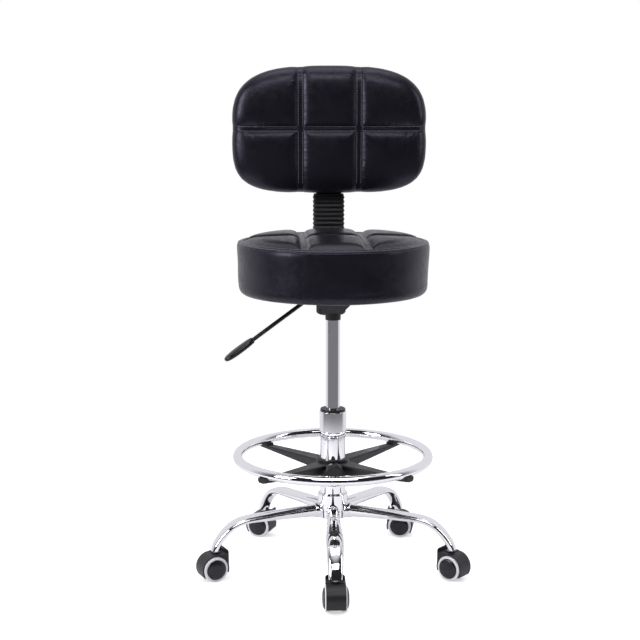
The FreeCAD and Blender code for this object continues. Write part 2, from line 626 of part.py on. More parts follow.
def make_plate():
    """Welded seat plate with its funnel, lever lugs and bolt holes, and the parts inside it."""
    top = SEAT_BOTTOM
    under = top - PLATE_THICKNESS
    sheet = box_between((-PLATE_HALF_WIDTH, -PLATE_FRONT, under), (PLATE_HALF_WIDTH, PLATE_BACK, top))
    corners = [edge for edge in sheet.Edges if abs(edge.BoundBox.ZLength - PLATE_THICKNESS) < 0.01]
    sheet = sheet.makeFillet(PLATE_CORNER, corners)
    funnel = housing_shell(0, HOUSING_BOTTOM, under).cut(housing_shell(HOUSING_WALL, HOUSING_BOTTOM, under))
    slot = box_between((SOCKET_RADIUS + 6, -7, LEVER_HEIGHT - 9), (HOUSING_MOUTH[0] + 10, 7, under))
    funnel = funnel.cut(turned(slot, LEVER_ANGLE))
    lugs = []
    for side in (-1, 1):
        near = min(side * LUG_NEAR, side * (LUG_NEAR + LUG_THICKNESS))
        far = near + LUG_THICKNESS
        lug = box_between((LEVER_PIVOT - 5, near, LEVER_HEIGHT - 6), (LEVER_PIVOT + 5, far, under))
        pin_start = Vector(LEVER_PIVOT, -20, LEVER_HEIGHT)
        lug = lug.cut(Part.makeCylinder(PIVOT_PIN_RADIUS + RUNNING, 40, pin_start, BACKWARD))
        lugs.append(turned(lug, LEVER_ANGLE))
    plate = fused([sheet, funnel] + lugs)
    for x, y in bolt_places():
        plate = plate.cut(cylinder(BOLT_RADIUS + 0.3, under - 1, top + 1, x, y))
    socket = cylinder(SOCKET_RADIUS, HOUSING_BOTTOM, SOCKET_TOP)
    export("seat_plate", plate.cut(socket))
    taper = cone(GAS_TUBE_RADIUS, TAPER_HEAD, HOUSING_BOTTOM - CAP_HEIGHT, SOCKET_TOP)
    export("taper_socket", socket.cut(taper))
    cap = cone(SOCKET_RADIUS - 1.5, SOCKET_RADIUS - 0.7, HOUSING_BOTTOM - CAP_HEIGHT, HOUSING_BOTTOM)
    export("taper_cap", cap.cut(taper))


def make_lever():
    """Bent lever rod with its pivot pin, and the paddle handle on its end."""
    slope = math.radians(LEVER_SLOPE)
    heading = Vector(math.cos(slope), 0, -math.sin(slope))
    bend = Vector(LEVER_BEND, 0, LEVER_HEIGHT)
    start = Vector(-6, 0, LEVER_HEIGHT)
    handle_start = bend + heading * ((HANDLE_START - LEVER_BEND) / math.cos(slope))
    rod_end = handle_start + heading * (0.6 * HANDLE_LENGTH)
    turn_length = LEVER_BEND_RADIUS * math.tan(slope / 2)
    arc_start = bend - SIDEWAYS * turn_length
    arc_end = bend + heading * turn_length
    centre = Vector(arc_start.x, 0, LEVER_HEIGHT - LEVER_BEND_RADIUS)
    arc_middle = centre + Vector(math.sin(slope / 2), 0, math.cos(slope / 2)) * LEVER_BEND_RADIUS
    path = Part.Wire([
        Part.makeLine(start, arc_start),
        Part.Arc(arc_start, arc_middle, arc_end).toShape(),
        Part.makeLine(arc_end, rod_end),
    ])
    profile = Part.Wire(Part.makeCircle(LEVER_RADIUS, start, SIDEWAYS))
    rod = path.makePipeShell([profile], True, False)
    pin_start = Vector(LEVER_PIVOT, -PIVOT_PIN_HALF, LEVER_HEIGHT)
    pin = Part.makeCylinder(PIVOT_PIN_RADIUS, 2 * PIVOT_PIN_HALF, pin_start, BACKWARD)
    export("lever_rod", turned(fused([rod, pin]), LEVER_ANGLE))
    normal = Vector(-heading.z, 0, heading.x)
    wires = []
    for share, half_width, half_height in (
        (0.0, 6.5, 5.6),
        (0.12, 9.5, 6.2),
        (0.35, 12.0, 6.5),
        (0.7, 12.4, 6.2),
        (0.9, 10.0, 4.8),
        (0.98, 6.0, 3.0),
        (1.0, 3.0, 1.6),
    ):
        centre = handle_start + heading * (HANDLE_LENGTH * share)
        wires.append(superellipse(centre, BACKWARD, normal, half_width, half_height, HANDLE_POWERS, 16))
    handle = Part.makeLoft(wires, True, False)
    export("lever_handle", turned(handle.cut(rod), LEVER_ANGLE))


# Backrest -----------------------------------------------------------------------

def bar_path(start, top):
    """Wire along the back bar: level, bent upwards, upright."""
    arc_start = Vector(0, BAR_BACK - BAR_BEND, BAR_HEIGHT)
    arc_end = Vector(0, BAR_BACK, BAR_HEIGHT + BAR_BEND)
    lean = BAR_BEND * math.sqrt(0.5)
    arc_middle = Vector(0, BAR_BACK - BAR_BEND + lean, BAR_HEIGHT + BAR_BEND - lean)
    return Part.Wire([
        Part.makeLine(Vector(0, start, BAR_HEIGHT), arc_start),
        Part.Arc(arc_start, arc_middle, arc_end).toShape(),
        Part.makeLine(arc_end, Vector(0, BAR_BACK, top)),
    ])


def bar_solid(start, top, half_width, half_thickness):
    """Flat bar swept along the back bar's path."""
    corners = [
        Vector(-half_width, start, BAR_HEIGHT - half_thickness),
        Vector(half_width, start, BAR_HEIGHT - half_thickness),
        Vector(half_width, start, BAR_HEIGHT + half_thickness),
        Vector(-half_width, start, BAR_HEIGHT + half_thickness),
    ]
    profile = Part.makePolygon(corners + [corners[0]])
    return bar_path(start, top).makePipeShell([profile], True, False)


def bellows_frames(start, top):
    """Places along the bar, half a pitch apart, each with its upward-facing normal."""
    level = BAR_BACK - BAR_BEND - start
    bend = 0.5 * math.pi * BAR_BEND
    upright = top - BAR_HEIGHT - BAR_BEND
    total = level + bend + upright
    count = 2 * round(total / BELLOWS_PITCH)
    frames = []
    for index in range(count + 1):
        travel = total * index / count
        if travel < level:
            frames.append((Vector(0, start + travel, BAR_HEIGHT), Vector(0, 0, 1)))
        elif travel < level + bend:
            angle = (travel - level) / BAR_BEND
            normal = Vector(0, -math.sin(angle), math.cos(angle))
            centre = Vector(0, BAR_BACK - BAR_BEND, BAR_HEIGHT + BAR_BEND) - normal * BAR_BEND
            frames.append((centre, normal))
        else:
            rise = travel - level - bend
            frames.append((Vector(0, BAR_BACK, BAR_HEIGHT + BAR_BEND + rise), Vector(0, -1, 0)))
    return frames


def make_bellows():
    """Pleated sleeve around the bar, from behind the guide up to the backrest."""
    top = BACK_CENTRE - 0.5 * BACK_TALL
    wires = []
    for index, (centre, normal) in enumerate(bellows_frames(BELLOWS_START, top)):
        inset = 0.0 if index % 2 else BELLOWS_GROOVE
        half_width = BELLOWS_HALF_WIDTH - inset
        half_depth = BELLOWS_HALF_DEPTH - inset
        points = []
        for x, y, first in (
            (half_width, half_depth, 0),
            (-half_width, half_depth, 90),
            (-half_width, -half_depth, 180),
            (half_width, -half_depth, 270),
        ):
            inner_x = x - math.copysign(BELLOWS_CORNER, x)
            inner_y = y - math.copysign(BELLOWS_CORNER, y)
            for step in range(4):
                angle = math.radians(first + 30 * step)
                out = SIDEWAYS * (inner_x + BELLOWS_CORNER * math.cos(angle))
                points.append(centre + out + normal * (inner_y + BELLOWS_CORNER * math.sin(angle)))
        wires.append(Part.makePolygon(points + [points[0]]))
    sleeve = Part.makeLoft(wires, True, True)
    core_half_thickness = 0.5 * BAR_THICKNESS + BELLOWS_GAP
    core = bar_solid(BELLOWS_START - 20, top + 20, BAR_HALF_WIDTH + BELLOWS_GAP, core_half_thickness)
    export("back_bellows", sleeve.cut(core))


def back_outline(depth, inset):
    """Outline of the backrest at one depth, drawn in by an inset."""
    centre = Vector(0, depth, BACK_CENTRE)
    half_width = 0.5 * BACK_WIDTH - inset
    half_height = 0.5 * BACK_TALL - inset
    return superellipse(centre, SIDEWAYS, UP, half_width, half_height, (BACK_TOP_POWER, BACK_LOW_POWER), 40)


def make_backrest():
    """Bar, backrest board, its cushion and the screws that hold the board to the bar."""
    bar_front = BAR_BACK - 0.5 * BAR_THICKNESS
    board_front = bar_front - BACK_BOARD
    pad_front = board_front - BACK_PAD
    screws = []
    holes = []
    for side in (-1, 1):
        for row in SCREW_ROWS:
            place = Vector(side * SCREW_HALF_SPACING, board_front + 2, row)
            shank = Part.makeCylinder(BACK_SCREW_RADIUS, BACK_BOARD - 2 + BAR_THICKNESS, place, BACKWARD)
            head_place = Vector(place.x, bar_front + BAR_THICKNESS, row)
            screws.append(fused([shank, Part.makeCylinder(BACK_SCREW_HEAD, 3, head_place, BACKWARD)]))
            holes.append(shank)
    holes = Part.Compound(holes)
    export("back_screws", Part.Compound(screws))
    bar = bar_solid(BAR_START, BAR_TOP, BAR_HALF_WIDTH, 0.5 * BAR_THICKNESS)
    top_edges = []
    for edge in bar.Edges:
        if edge.BoundBox.ZMin > BAR_TOP - 0.1 and edge.BoundBox.XLength < 0.1:
            top_edges.append(edge)
    export("back_bar", bar.makeFillet(BAR_CORNER, top_edges).cut(holes))
    sections = [back_outline(board_front, BACK_BOARD_INSET), back_outline(bar_front, BACK_BOARD_INSET + 2)]
    board = Part.makeLoft(sections, True, True)
    export("back_shell", board.cut(holes))
    sections = [
        back_outline(board_front, 5.0),
        back_outline(board_front - 0.14 * BACK_PAD, 0.0),
        back_outline(board_front - 0.5 * BACK_PAD, 0.0),
        back_outline(board_front - 0.8 * BACK_PAD, 11.0),
        back_outline(board_front - 0.95 * BACK_PAD, 30.0),
        back_outline(pad_front, 60.0),
    ]
    export("back_cushion", Part.makeLoft(sections, True, False))


def make_guide():
    """Sleeve under the seat plate that the back bar slides in, and the knob that locks it."""
    half_width = BAR_HALF_WIDTH + SLIDING
    half_height = 0.5 * BAR_THICKNESS + SLIDING
    under = SEAT_BOTTOM - PLATE_THICKNESS
    low = BAR_HEIGHT - half_height - GUIDE_WALL
    end = PLATE_BACK - 3
    sleeve = box_between((-half_width - GUIDE_WALL, GUIDE_START, low), (half_width + GUIDE_WALL, end, under))
    tunnel = box_between(
        (-half_width, GUIDE_START - 1, BAR_HEIGHT - half_height),
        (half_width, end + 1, BAR_HEIGHT + half_height),
    )
    hole = cylinder(CLAMP_SCREW_RADIUS + RUNNING, low - 1, BAR_HEIGHT, 0, BACK_KNOB_PLACE)
    export("bar_guide", sleeve.cut(tunnel).cut(hole))
    knob = lobed_knob(BACK_KNOB_RADIUS, BACK_KNOB_HEIGHT, 2 * KNOB_LOBES)
    knob.translate(Vector(0, BACK_KNOB_PLACE, BACK_KNOB_TOP - BACK_KNOB_HEIGHT))
    neck = Part.makeCone(12, 7, low - 1 - BACK_KNOB_TOP, Vector(0, BACK_KNOB_PLACE, BACK_KNOB_TOP))
    screw_top = BAR_HEIGHT - 0.5 * BAR_THICKNESS - SCREW_GAP
    screw = cylinder(CLAMP_SCREW_RADIUS, BACK_KNOB_TOP - 4, screw_top, 0, BACK_KNOB_PLACE)
    export("back_knob", fused([knob, neck, screw]))


make_base()
make_casters()
make_column()
make_gas_lift()
make_foot_ring()
make_seat()
make_plate()
make_lever()
make_backrest()
make_bellows()
make_guide()
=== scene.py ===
# %% [markdown]
# # A drafting chair
# The chair stands on five twin-wheel casters. Its hard parts come ready made from the
# CAD frame, in metres and already in place, so here they only get their finishes.
# The soft parts - seat, backrest and the pleated sleeve - are modelled in this file.

# %% Load the frame
import json
import math
import random

import bpy
from mathutils import Matrix, Vector
from mathutils.bvhtree import BVHTree


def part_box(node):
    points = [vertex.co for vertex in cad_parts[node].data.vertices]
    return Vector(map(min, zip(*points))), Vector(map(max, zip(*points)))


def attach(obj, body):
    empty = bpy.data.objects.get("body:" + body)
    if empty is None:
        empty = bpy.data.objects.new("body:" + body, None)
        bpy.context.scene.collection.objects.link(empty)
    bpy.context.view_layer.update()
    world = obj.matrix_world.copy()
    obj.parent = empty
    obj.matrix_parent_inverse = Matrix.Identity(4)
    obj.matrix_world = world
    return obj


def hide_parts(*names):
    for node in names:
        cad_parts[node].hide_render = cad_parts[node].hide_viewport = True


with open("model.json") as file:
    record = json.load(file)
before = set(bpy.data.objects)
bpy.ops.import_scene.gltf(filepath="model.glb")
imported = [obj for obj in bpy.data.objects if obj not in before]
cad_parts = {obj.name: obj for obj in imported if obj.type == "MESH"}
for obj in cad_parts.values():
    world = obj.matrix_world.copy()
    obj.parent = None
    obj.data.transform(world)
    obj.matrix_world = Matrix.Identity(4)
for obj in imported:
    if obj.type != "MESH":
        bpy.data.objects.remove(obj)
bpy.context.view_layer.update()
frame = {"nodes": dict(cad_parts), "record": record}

# %% [markdown]
# ## Stage
# A studio stage is only a floor, a few large soft lamps and a surrounding light. The
# floor fades out towards its rim, so no horizon line cuts through the picture. Chrome
# shows whatever surrounds it, so the surroundings are bright behind and straight
# overhead, grey below and almost black in front, where black cloth would hang.

# %% Floor
FLOOR_LIFT = 0.5
FLOOR_RADIUS = 2.6
FLOOR_DROP = 0.0004

def soft_floor():
    bpy.ops.object.select_all(action="DESELECT")
    bpy.ops.mesh.primitive_circle_add(
        vertices=96, radius=FLOOR_RADIUS, fill_type="NGON", location=(0, 0, -FLOOR_DROP))
    floor = bpy.context.object
    floor.name = "studio_floor"
    material = bpy.data.materials.new("studio_floor")
    material.use_nodes = True
    nodes, links = material.node_tree.nodes, material.node_tree.links
    shader = nodes["Principled BSDF"]
    shader.inputs["Base Color"].default_value = (0.93, 0.93, 0.935, 1)
    shader.inputs["Roughness"].default_value = 0.75
    place = nodes.new("ShaderNodeTexCoord")
    length = nodes.new("ShaderNodeVectorMath")
    length.operation = "LENGTH"
    fade = nodes.new("ShaderNodeMapRange")
    fade.interpolation_type = "SMOOTHSTEP"
    fade.inputs["From Min"].default_value = 0.9
    fade.inputs["From Max"].default_value = 1.4
    fade.inputs["To Min"].default_value = 1.0
    fade.inputs["To Max"].default_value = 0.0
    links.new(place.outputs["Object"], length.inputs[0])
    links.new(length.outputs["Value"], fade.inputs["Value"])
    links.new(fade.outputs["Result"], shader.inputs["Alpha"])
    seen = nodes.new("ShaderNodeLightPath")
    lift = nodes.new("ShaderNodeMath")
    lift.operation = "MULTIPLY"
    lift.inputs[1].default_value = FLOOR_LIFT
    links.new(seen.outputs["Is Camera Ray"], lift.inputs[0])
    links.new(lift.outputs[0], shader.inputs["Emission Strength"])
    shader.inputs["Emission Color"].default_value = (1, 1, 1, 1)
    floor.data.materials.append(material)
    return floor

floor = soft_floor()
print("floor radius", round(floor.dimensions.x / 2, 2))

# %% Surrounding light
FRONT_STARTS, FRONT_FULL = 0.4, -0.35      # Y of the direction
OVERHEAD_FULL, OVERHEAD_ENDS = 0.98, 0.8   # Z of the direction
BRIGHT, DARK, BELOW = 0.78, 0.02, 0.2      # strengths of the surroundings

def remap(tree, value, start, end, low=0.0, high=1.0, smooth=True):
    node = tree.nodes.new("ShaderNodeMapRange")
    node.interpolation_type = "SMOOTHSTEP" if smooth else "LINEAR"
    node.inputs["From Min"].default_value = start
    node.inputs["From Max"].default_value = end
    node.inputs["To Min"].default_value = low
    node.inputs["To Max"].default_value = high
    tree.links.new(value, node.inputs["Value"])
    return node.outputs["Result"]

def combine(tree, operation, first, second):
    node = tree.nodes.new("ShaderNodeMath")
    node.operation = operation
    tree.links.new(first, node.inputs[0])
    tree.links.new(second, node.inputs[1])
    return node.outputs[0]

def studio_world():
    world = bpy.data.worlds.new("studio")
    bpy.context.scene.world = world
    world.use_nodes = True
    tree = world.node_tree
    nodes, links = tree.nodes, tree.links
    background = nodes["Background"]
    place = nodes.new("ShaderNodeTexCoord")
    split = nodes.new("ShaderNodeSeparateXYZ")
    links.new(place.outputs["Generated"], split.inputs[0])
    up = split.outputs["Z"]
    front = remap(tree, split.outputs["Y"], FRONT_STARTS, FRONT_FULL)
    low = remap(tree, up, OVERHEAD_FULL, OVERHEAD_ENDS)
    cloth = combine(tree, "MULTIPLY", front, low)
    shade = remap(tree, cloth, 0.0, 1.0, BRIGHT, DARK, smooth=False)
    below = remap(tree, up, 0.0, -0.15, 0.0, BELOW, smooth=False)
    strength = combine(tree, "MAXIMUM", shade, below)
    seen = nodes.new("ShaderNodeLightPath")
    pick = nodes.new("ShaderNodeMix")
    links.new(seen.outputs["Is Camera Ray"], pick.inputs["Factor"])
    links.new(strength, pick.inputs["A"])
    pick.inputs["B"].default_value = 1.0
    links.new(pick.outputs["Result"], background.inputs["Strength"])
    tint = nodes.new("ShaderNodeMix")
    tint.data_type = "RGBA"
    tint.inputs["A"].default_value = (0.955, 0.945, 1, 1)
    tint.inputs["B"].default_value = (1, 1, 1, 1)
    links.new(seen.outputs["Is Camera Ray"], tint.inputs["Factor"])
    links.new(tint.outputs["Result"], background.inputs["Color"])
    bpy.context.scene.view_settings.view_transform = "Standard"

studio_world()

# %% Soft lamps
def softbox(name, place, aim, width, height, watts):
    lamp = bpy.data.lights.new(name, "AREA")
    lamp.shape = "RECTANGLE"
    lamp.size = width
    lamp.size_y = height
    lamp.energy = watts
    box = bpy.data.objects.new(name, lamp)
    bpy.context.scene.collection.objects.link(box)
    lamp.color = (0.97, 0.955, 1.0)
    box.location = place
    box.rotation_mode = "QUATERNION"
    box.rotation_quaternion = (Vector(aim) - Vector(place)).to_track_quat("-Z", "Y")
    return box

softbox("left_softbox", (-2.4, -1.4, 1.55), (0, 0, 0.7), 1.0, 1.9, 46)
softbox("right_softbox", (2.5, -0.7, 1.55), (0, 0, 0.7), 0.4, 1.9, 13)
softbox("top_softbox", (0, -0.2, 3.0), (0, 0, 0.5), 2.2, 1.6, 20)
softbox("front_softbox", (0, -2.3, 2.7), (0, 0, 0.7), 2.6, 0.6, 26)

# %% [markdown]
# ## Camera
# The camera stands about two and a half metres in front of the chair, a little above
# the backrest, looks gently down and is turned a touch to the side. A long lens keeps
# the upright column straight.

# %% Camera
def place_camera(distance, height, side_turn, tilt, pan, lens):
    camera = bpy.data.objects.new("camera", bpy.data.cameras.new("camera"))
    bpy.context.scene.collection.objects.link(camera)
    bpy.context.scene.camera = camera
    camera.data.sensor_width = 36
    camera.data.lens = lens
    side = math.radians(side_turn)
    camera.location = (-distance * math.sin(side), -distance * math.cos(side), height)
    down = Matrix.Rotation(math.radians(90 - tilt), 4, "X")
    camera.rotation_euler = (Matrix.Rotation(math.radians(pan) - side, 4, "Z") @ down).to_euler()
    return camera

camera = place_camera(distance=2.66, height=0.939, side_turn=2.6, tilt=9.27, pan=0.553, lens=76.8)
print("camera", [round(v, 3) for v in camera.location])

# %% [markdown]
# ## Small helpers
# Operators work on whatever is selected, so every step begins with a clean selection.
# Faces and edges are then picked by where they are.

# %% Helpers
def pick_only(piece):
    bpy.ops.object.select_all(action="DESELECT")
    piece.select_set(True)
    bpy.context.view_layer.objects.active = piece

def apply_modifiers(piece):
    pick_only(piece)
    for modifier in list(piece.modifiers):
        bpy.ops.object.modifier_apply(modifier=modifier.name)

def bake_place(piece):
    pick_only(piece)
    bpy.ops.object.transform_apply(location=True, rotation=True, scale=True)

def tidy_mesh(piece):
    pick_only(piece)
    bpy.ops.object.mode_set(mode="EDIT")
    bpy.ops.mesh.select_all(action="SELECT")
    bpy.ops.mesh.remove_doubles(threshold=0.00002)
    bpy.ops.mesh.normals_make_consistent(inside=False)
    bpy.ops.object.mode_set(mode="OBJECT")

def finish_piece(piece, body, material):
    piece.data.materials.clear()
    piece.data.materials.append(material)
    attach(piece, body)
    print(piece.name, len(piece.data.polygons), "faces on", body)

# %% [markdown]
# ## Finishes
# Each finish is one Principled shader with a few texture nodes that read Object
# coordinates, so the pattern sticks to the piece at its real scale. The helper adds
# a noise node, and the finishes below choose how it drives colour, roughness and bump.

# %% Node helpers
def new_finish(name, colour, roughness, metallic=0.0):
    material = bpy.data.materials.new(name)
    material.use_nodes = True
    shader = material.node_tree.nodes["Principled BSDF"]
    shader.inputs["Base Color"].default_value = (*colour, 1)
    shader.inputs["Roughness"].default_value = roughness
    shader.inputs["Metallic"].default_value = metallic
    return material

def add_node(material, kind, **values):
    node = material.node_tree.nodes.new(kind)
    for name, value in values.items():
        setattr(node, name, value)
    return node

def join(material, source, target):
    material.node_tree.links.new(source, target)

def object_place(material):
    return add_node(material, "ShaderNodeTexCoord").outputs["Object"]

def noise(material, scale, detail=3.0):
    node = add_node(material, "ShaderNodeTexNoise")
    node.inputs["Scale"].default_value = scale
    node.inputs["Detail"].default_value = detail
    join(material, object_place(material), node.inputs["Vector"])
    return node.outputs["Fac"]

def spread(material, value, low, high, start=0.0, end=1.0):
    node = add_node(material, "ShaderNodeMapRange")
    node.inputs["From Min"].default_value = low
    node.inputs["From Max"].default_value = high
    node.inputs["To Min"].default_value = start
    node.inputs["To Max"].default_value = end
    join(material, value, node.inputs["Value"])
    return node.outputs["Result"]

def blend_colours(material, value, first, second):
    node = add_node(material, "ShaderNodeMix", data_type="RGBA")
    node.inputs["A"].default_value = (*first, 1)
    node.inputs["B"].default_value = (*second, 1)
    join(material, value, node.inputs["Factor"])
    return node.outputs["Result"]

def bump(material, height, distance, strength=1.0, under=None):
    node = add_node(material, "ShaderNodeBump")
    node.inputs["Strength"].default_value = strength
    node.inputs["Distance"].default_value = distance
    join(material, height, node.inputs["Height"])
    if under is not None:
        join(material, under, node.inputs["Normal"])
    return node.outputs["Normal"]

def drive(material, socket, value):
    join(material, value, material.node_tree.nodes["Principled BSDF"].inputs[socket])

# %% [markdown]
# ### Chrome and steel
# Chrome plate is a mirror with faint wipe marks and dust, so only its roughness varies.
# Bare steel pins are duller and carry fine turning marks.

# %% Chrome and steel
def make_chrome():
    chrome = new_finish("chrome_plate", (0.95, 0.95, 0.965), 0.05, 1.0)
    wipes = noise(chrome, 26, 4)
    drive(chrome, "Roughness", spread(chrome, wipes, 0.35, 0.75, 0.03, 0.08))
    ripple = bump(chrome, noise(chrome, 18, 1), 0.0002, 0.15)
    drive(chrome, "Normal", ripple)
    return chrome

def make_steel():
    steel = new_finish("pin_steel", (0.56, 0.57, 0.59), 0.3, 1.0)
    marks = noise(steel, 420, 2)
    drive(steel, "Roughness", spread(steel, marks, 0.3, 0.7, 0.22, 0.42))
    drive(steel, "Normal", bump(steel, marks, 0.00005, 0.6))
    return steel

chrome_plate = make_chrome()
pin_steel = make_steel()

# %% [markdown]
# ### Black plastics, paint and rubber
# The moulded parts are nearly black and differ in gloss: the spider and the hoods have
# a fine satin texture, the lever paddle and hub caps are smoother, and the sprayed
# steel has a soft orange-peel ripple. Worn patches, scattered by a noise, are a little paler.

# %% Plastics, paint and rubber
def make_moulded(name, colour, low, high, grain, depth):
    plastic = new_finish(name, colour, 0.5)
    cloud = noise(plastic, 35, 3)
    paler = tuple(1.7 * c + 0.004 for c in colour)
    worn = spread(plastic, cloud, 0.4, 0.8)
    drive(plastic, "Base Color", blend_colours(plastic, worn, colour, paler))
    drive(plastic, "Roughness", spread(plastic, cloud, 0.3, 0.7, low, high))
    drive(plastic, "Normal", bump(plastic, noise(plastic, grain, 2), depth, 0.7))
    return plastic

satin_plastic = make_moulded(
    "satin_black_plastic", (0.007, 0.007, 0.0085), 0.36, 0.5, 1400, 0.00008)
gloss_plastic = make_moulded("smooth_black_plastic", (0.008, 0.008, 0.011), 0.2, 0.32, 700, 0.00003)
black_paint = make_moulded("sprayed_black_steel", (0.007, 0.007, 0.008), 0.3, 0.42, 260, 0.00012)
sleeve_rubber = make_moulded("sleeve_rubber", (0.004, 0.004, 0.005), 0.42, 0.6, 900, 0.0001)

# %% Wheel tread, plywood and thread
def make_tread():
    tread = new_finish("pale_wheel_tread", (0.86, 0.86, 0.88), 0.4)
    dust = noise(tread, 60, 4)
    dusty = spread(tread, dust, 0.45, 0.8)
    drive(tread, "Base Color", blend_colours(tread, dusty, (0.88, 0.88, 0.9), (0.74, 0.74, 0.75)))
    drive(tread, "Roughness", spread(tread, dust, 0.3, 0.7, 0.32, 0.5))
    return tread

def make_plywood():
    ply = new_finish("plywood", (0.6, 0.43, 0.26), 0.7)
    grain = add_node(ply, "ShaderNodeTexWave", wave_type="BANDS", bands_direction="X")
    grain.inputs["Scale"].default_value = 22
    grain.inputs["Distortion"].default_value = 7
    grain.inputs["Detail"].default_value = 3
    join(ply, object_place(ply), grain.inputs["Vector"])
    lines = grain.outputs["Fac"]
    drive(ply, "Base Color", blend_colours(ply, lines, (0.62, 0.45, 0.27), (0.45, 0.3, 0.17)))
    drive(ply, "Normal", bump(ply, lines, 0.0002, 0.5))
    return ply

def make_thread():
    thread = new_finish("black_thread", (0.1, 0.1, 0.12), 0.4)
    twist = noise(thread, 2400, 1)
    colour = blend_colours(thread, twist, (0.07, 0.07, 0.085), (0.19, 0.19, 0.22))
    drive(thread, "Base Color", colour)
    drive(thread, "Normal", bump(thread, twist, 0.0001, 0.8))
    return thread

pale_tread = make_tread()
plywood = make_plywood()
black_thread = make_thread()

# %% [markdown]
# ### Black leather
# The cover is a coated leather with a fine pebble grain. Small Voronoi cells give the
# pebbles, a larger noise gives soft creases, and the roughness wanders so that the
# highlights break up. Sewn lines are added for each cushion from its own measures.

# %% Leather
def make_leather(name, seam_height=None):
    leather = new_finish(name, (0.008, 0.0075, 0.0105), 0.4)
    cloud = noise(leather, 14, 4)
    patches = spread(leather, cloud, 0.35, 0.75)
    tint = blend_colours(leather, patches, (0.006, 0.0057, 0.0078), (0.011, 0.0103, 0.0145))
    drive(leather, "Base Color", tint)
    drive(leather, "Roughness", spread(leather, noise(leather, 90, 3), 0.3, 0.7, 0.27, 0.38))
    shader = leather.node_tree.nodes["Principled BSDF"]
    shader.inputs["Specular Tint"].default_value = (0.66, 0.61, 0.8, 1)
    cells = add_node(leather, "ShaderNodeTexVoronoi", feature="SMOOTH_F1")
    cells.inputs["Scale"].default_value = 620
    join(leather, object_place(leather), cells.inputs["Vector"])
    creases = bump(leather, noise(leather, 45, 4), 0.0012, 0.22)
    pebbles = bump(leather, cells.outputs["Distance"], 0.00016, 0.5, creases)
    if seam_height is None:
        drive(leather, "Normal", pebbles)
    else:
        drive(leather, "Normal", bump(leather, seam_height(leather), 0.0008, 0.8, pebbles))
    return leather

plain_leather = make_leather("black_leather")

# %% [markdown]
# ## Finishes for the CAD parts
# The record says which finish each CAD part has, so one table from slot to material
# dresses them all.

# %% Dress the CAD parts
FINISHES = {
    "chrome": chrome_plate,
    "steel": pin_steel,
    "painted_steel": black_paint,
    "black_plastic": satin_plastic,
    "gloss_plastic": gloss_plastic,
    "pale_tread": pale_tread,
    "bellows_rubber": sleeve_rubber,
    "plywood": plywood,
    "black_leather": plain_leather,
}

def dress_cad_parts():
    for part in frame["record"]["subparts"]:
        node = frame["nodes"][part["node"]]
        material = FINISHES[part["material_slot"]]
        if not node.data.materials:
            node.data.materials.append(material)
        for place in range(len(node.data.materials)):
            node.material_slots[place].material = material

dress_cad_parts()
print("dressed", len(frame["nodes"]), "parts")

# %% [markdown]
# ## How the cushions are filled
# A real cushion is a sewn bag of leather pushed out by its foam. The same happens here:
# a copy of the plain CAD solid is given an even mesh, drawn in a little, pinned along
# its sewn lines and blown up with a short cloth simulation. A cap keeps every point
# close to where it began, so the cushion keeps its size.

# %% Filling a cushion
def even_copy(node_name, new_name, voxel, draw_in):
    piece = bpy.data.objects.new(new_name, frame["nodes"][node_name].data.copy())
    bpy.context.scene.collection.objects.link(piece)
    piece.data.materials.clear()
    pick_only(piece)
    bpy.ops.mesh.customdata_custom_splitnormals_clear()
    tidy_mesh(piece)
    remesh = piece.modifiers.new("even_mesh", "REMESH")
    remesh.mode = "VOXEL"
    remesh.voxel_size = voxel
    apply_modifiers(piece)
    bpy.ops.object.mode_set(mode="EDIT")
    bpy.ops.mesh.select_all(action="SELECT")
    bpy.ops.mesh.vertices_smooth(factor=0.5, repeat=2)
    bpy.ops.transform.shrink_fatten(value=-draw_in)
    bpy.ops.object.mode_set(mode="OBJECT")
    return piece

def blow_up(piece, is_sewn, pressure, cap):
    start = [vertex.co.copy() for vertex in piece.data.vertices]
    sewn = piece.vertex_groups.new(name="sewn")
    sewn.add([i for i, co in enumerate(start) if is_sewn(co)], 1.0, "REPLACE")
    filling = piece.modifiers.new("filling", "CLOTH")
    filling.settings.quality = 5
    filling.settings.mass = 0.3
    filling.settings.tension_stiffness = 12
    filling.settings.compression_stiffness = 12
    filling.settings.bending_stiffness = 0.4
    filling.settings.use_pressure = True
    filling.settings.uniform_pressure_force = pressure
    filling.settings.effector_weights.gravity = 0
    filling.settings.vertex_group_mass = "sewn"
    filling.point_cache.frame_start = 1
    filling.point_cache.frame_end = 20
    for step in range(1, 21):
        bpy.context.scene.frame_set(step)
    apply_modifiers(piece)
    bpy.context.scene.frame_set(1)
    furthest = 0.0
    for vertex, old in zip(piece.data.vertices, start):
        move = vertex.co - old
        furthest = max(furthest, move.length)
        if move.length > cap:
            vertex.co = old + move * (cap / move.length)
    piece.vertex_groups.clear()
    print(piece.name, "moved up to", round(furthest * 1000, 1), "mm, capped at", cap * 1000)

def refine(piece):
    smooth = piece.modifiers.new("finer", "SUBSURF")
    smooth.levels = 1
    smooth.render_levels = 1
    apply_modifiers(piece)
    pick_only(piece)
    bpy.ops.object.shade_smooth()

# %% [markdown]
# ### Seat cushion
# The round top is sewn into six cells by two strips that run front to back and one
# that crosses them. Another strip runs round the top edge. Each strip is a flat band
# with a row of stitches along both edges, and the foam swells steeply beside it.

# %% Seat measures
seat_low, seat_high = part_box("seat_cushion")
SEAT_RADIUS = (seat_high[0] - seat_low[0]) / 2
SEAT_SEAM = seat_high[2] - 0.0205
STRIP_HALF = 0.0058
CHANNEL_SIDE = 0.060
RIM_STRIP = 0.0125
RIM_LINE = SEAT_RADIUS - RIM_STRIP
SEAT_GROOVE = 0.0095
RIM_GROOVE = 0.0065
SEAT_PUCKER = 0.0005

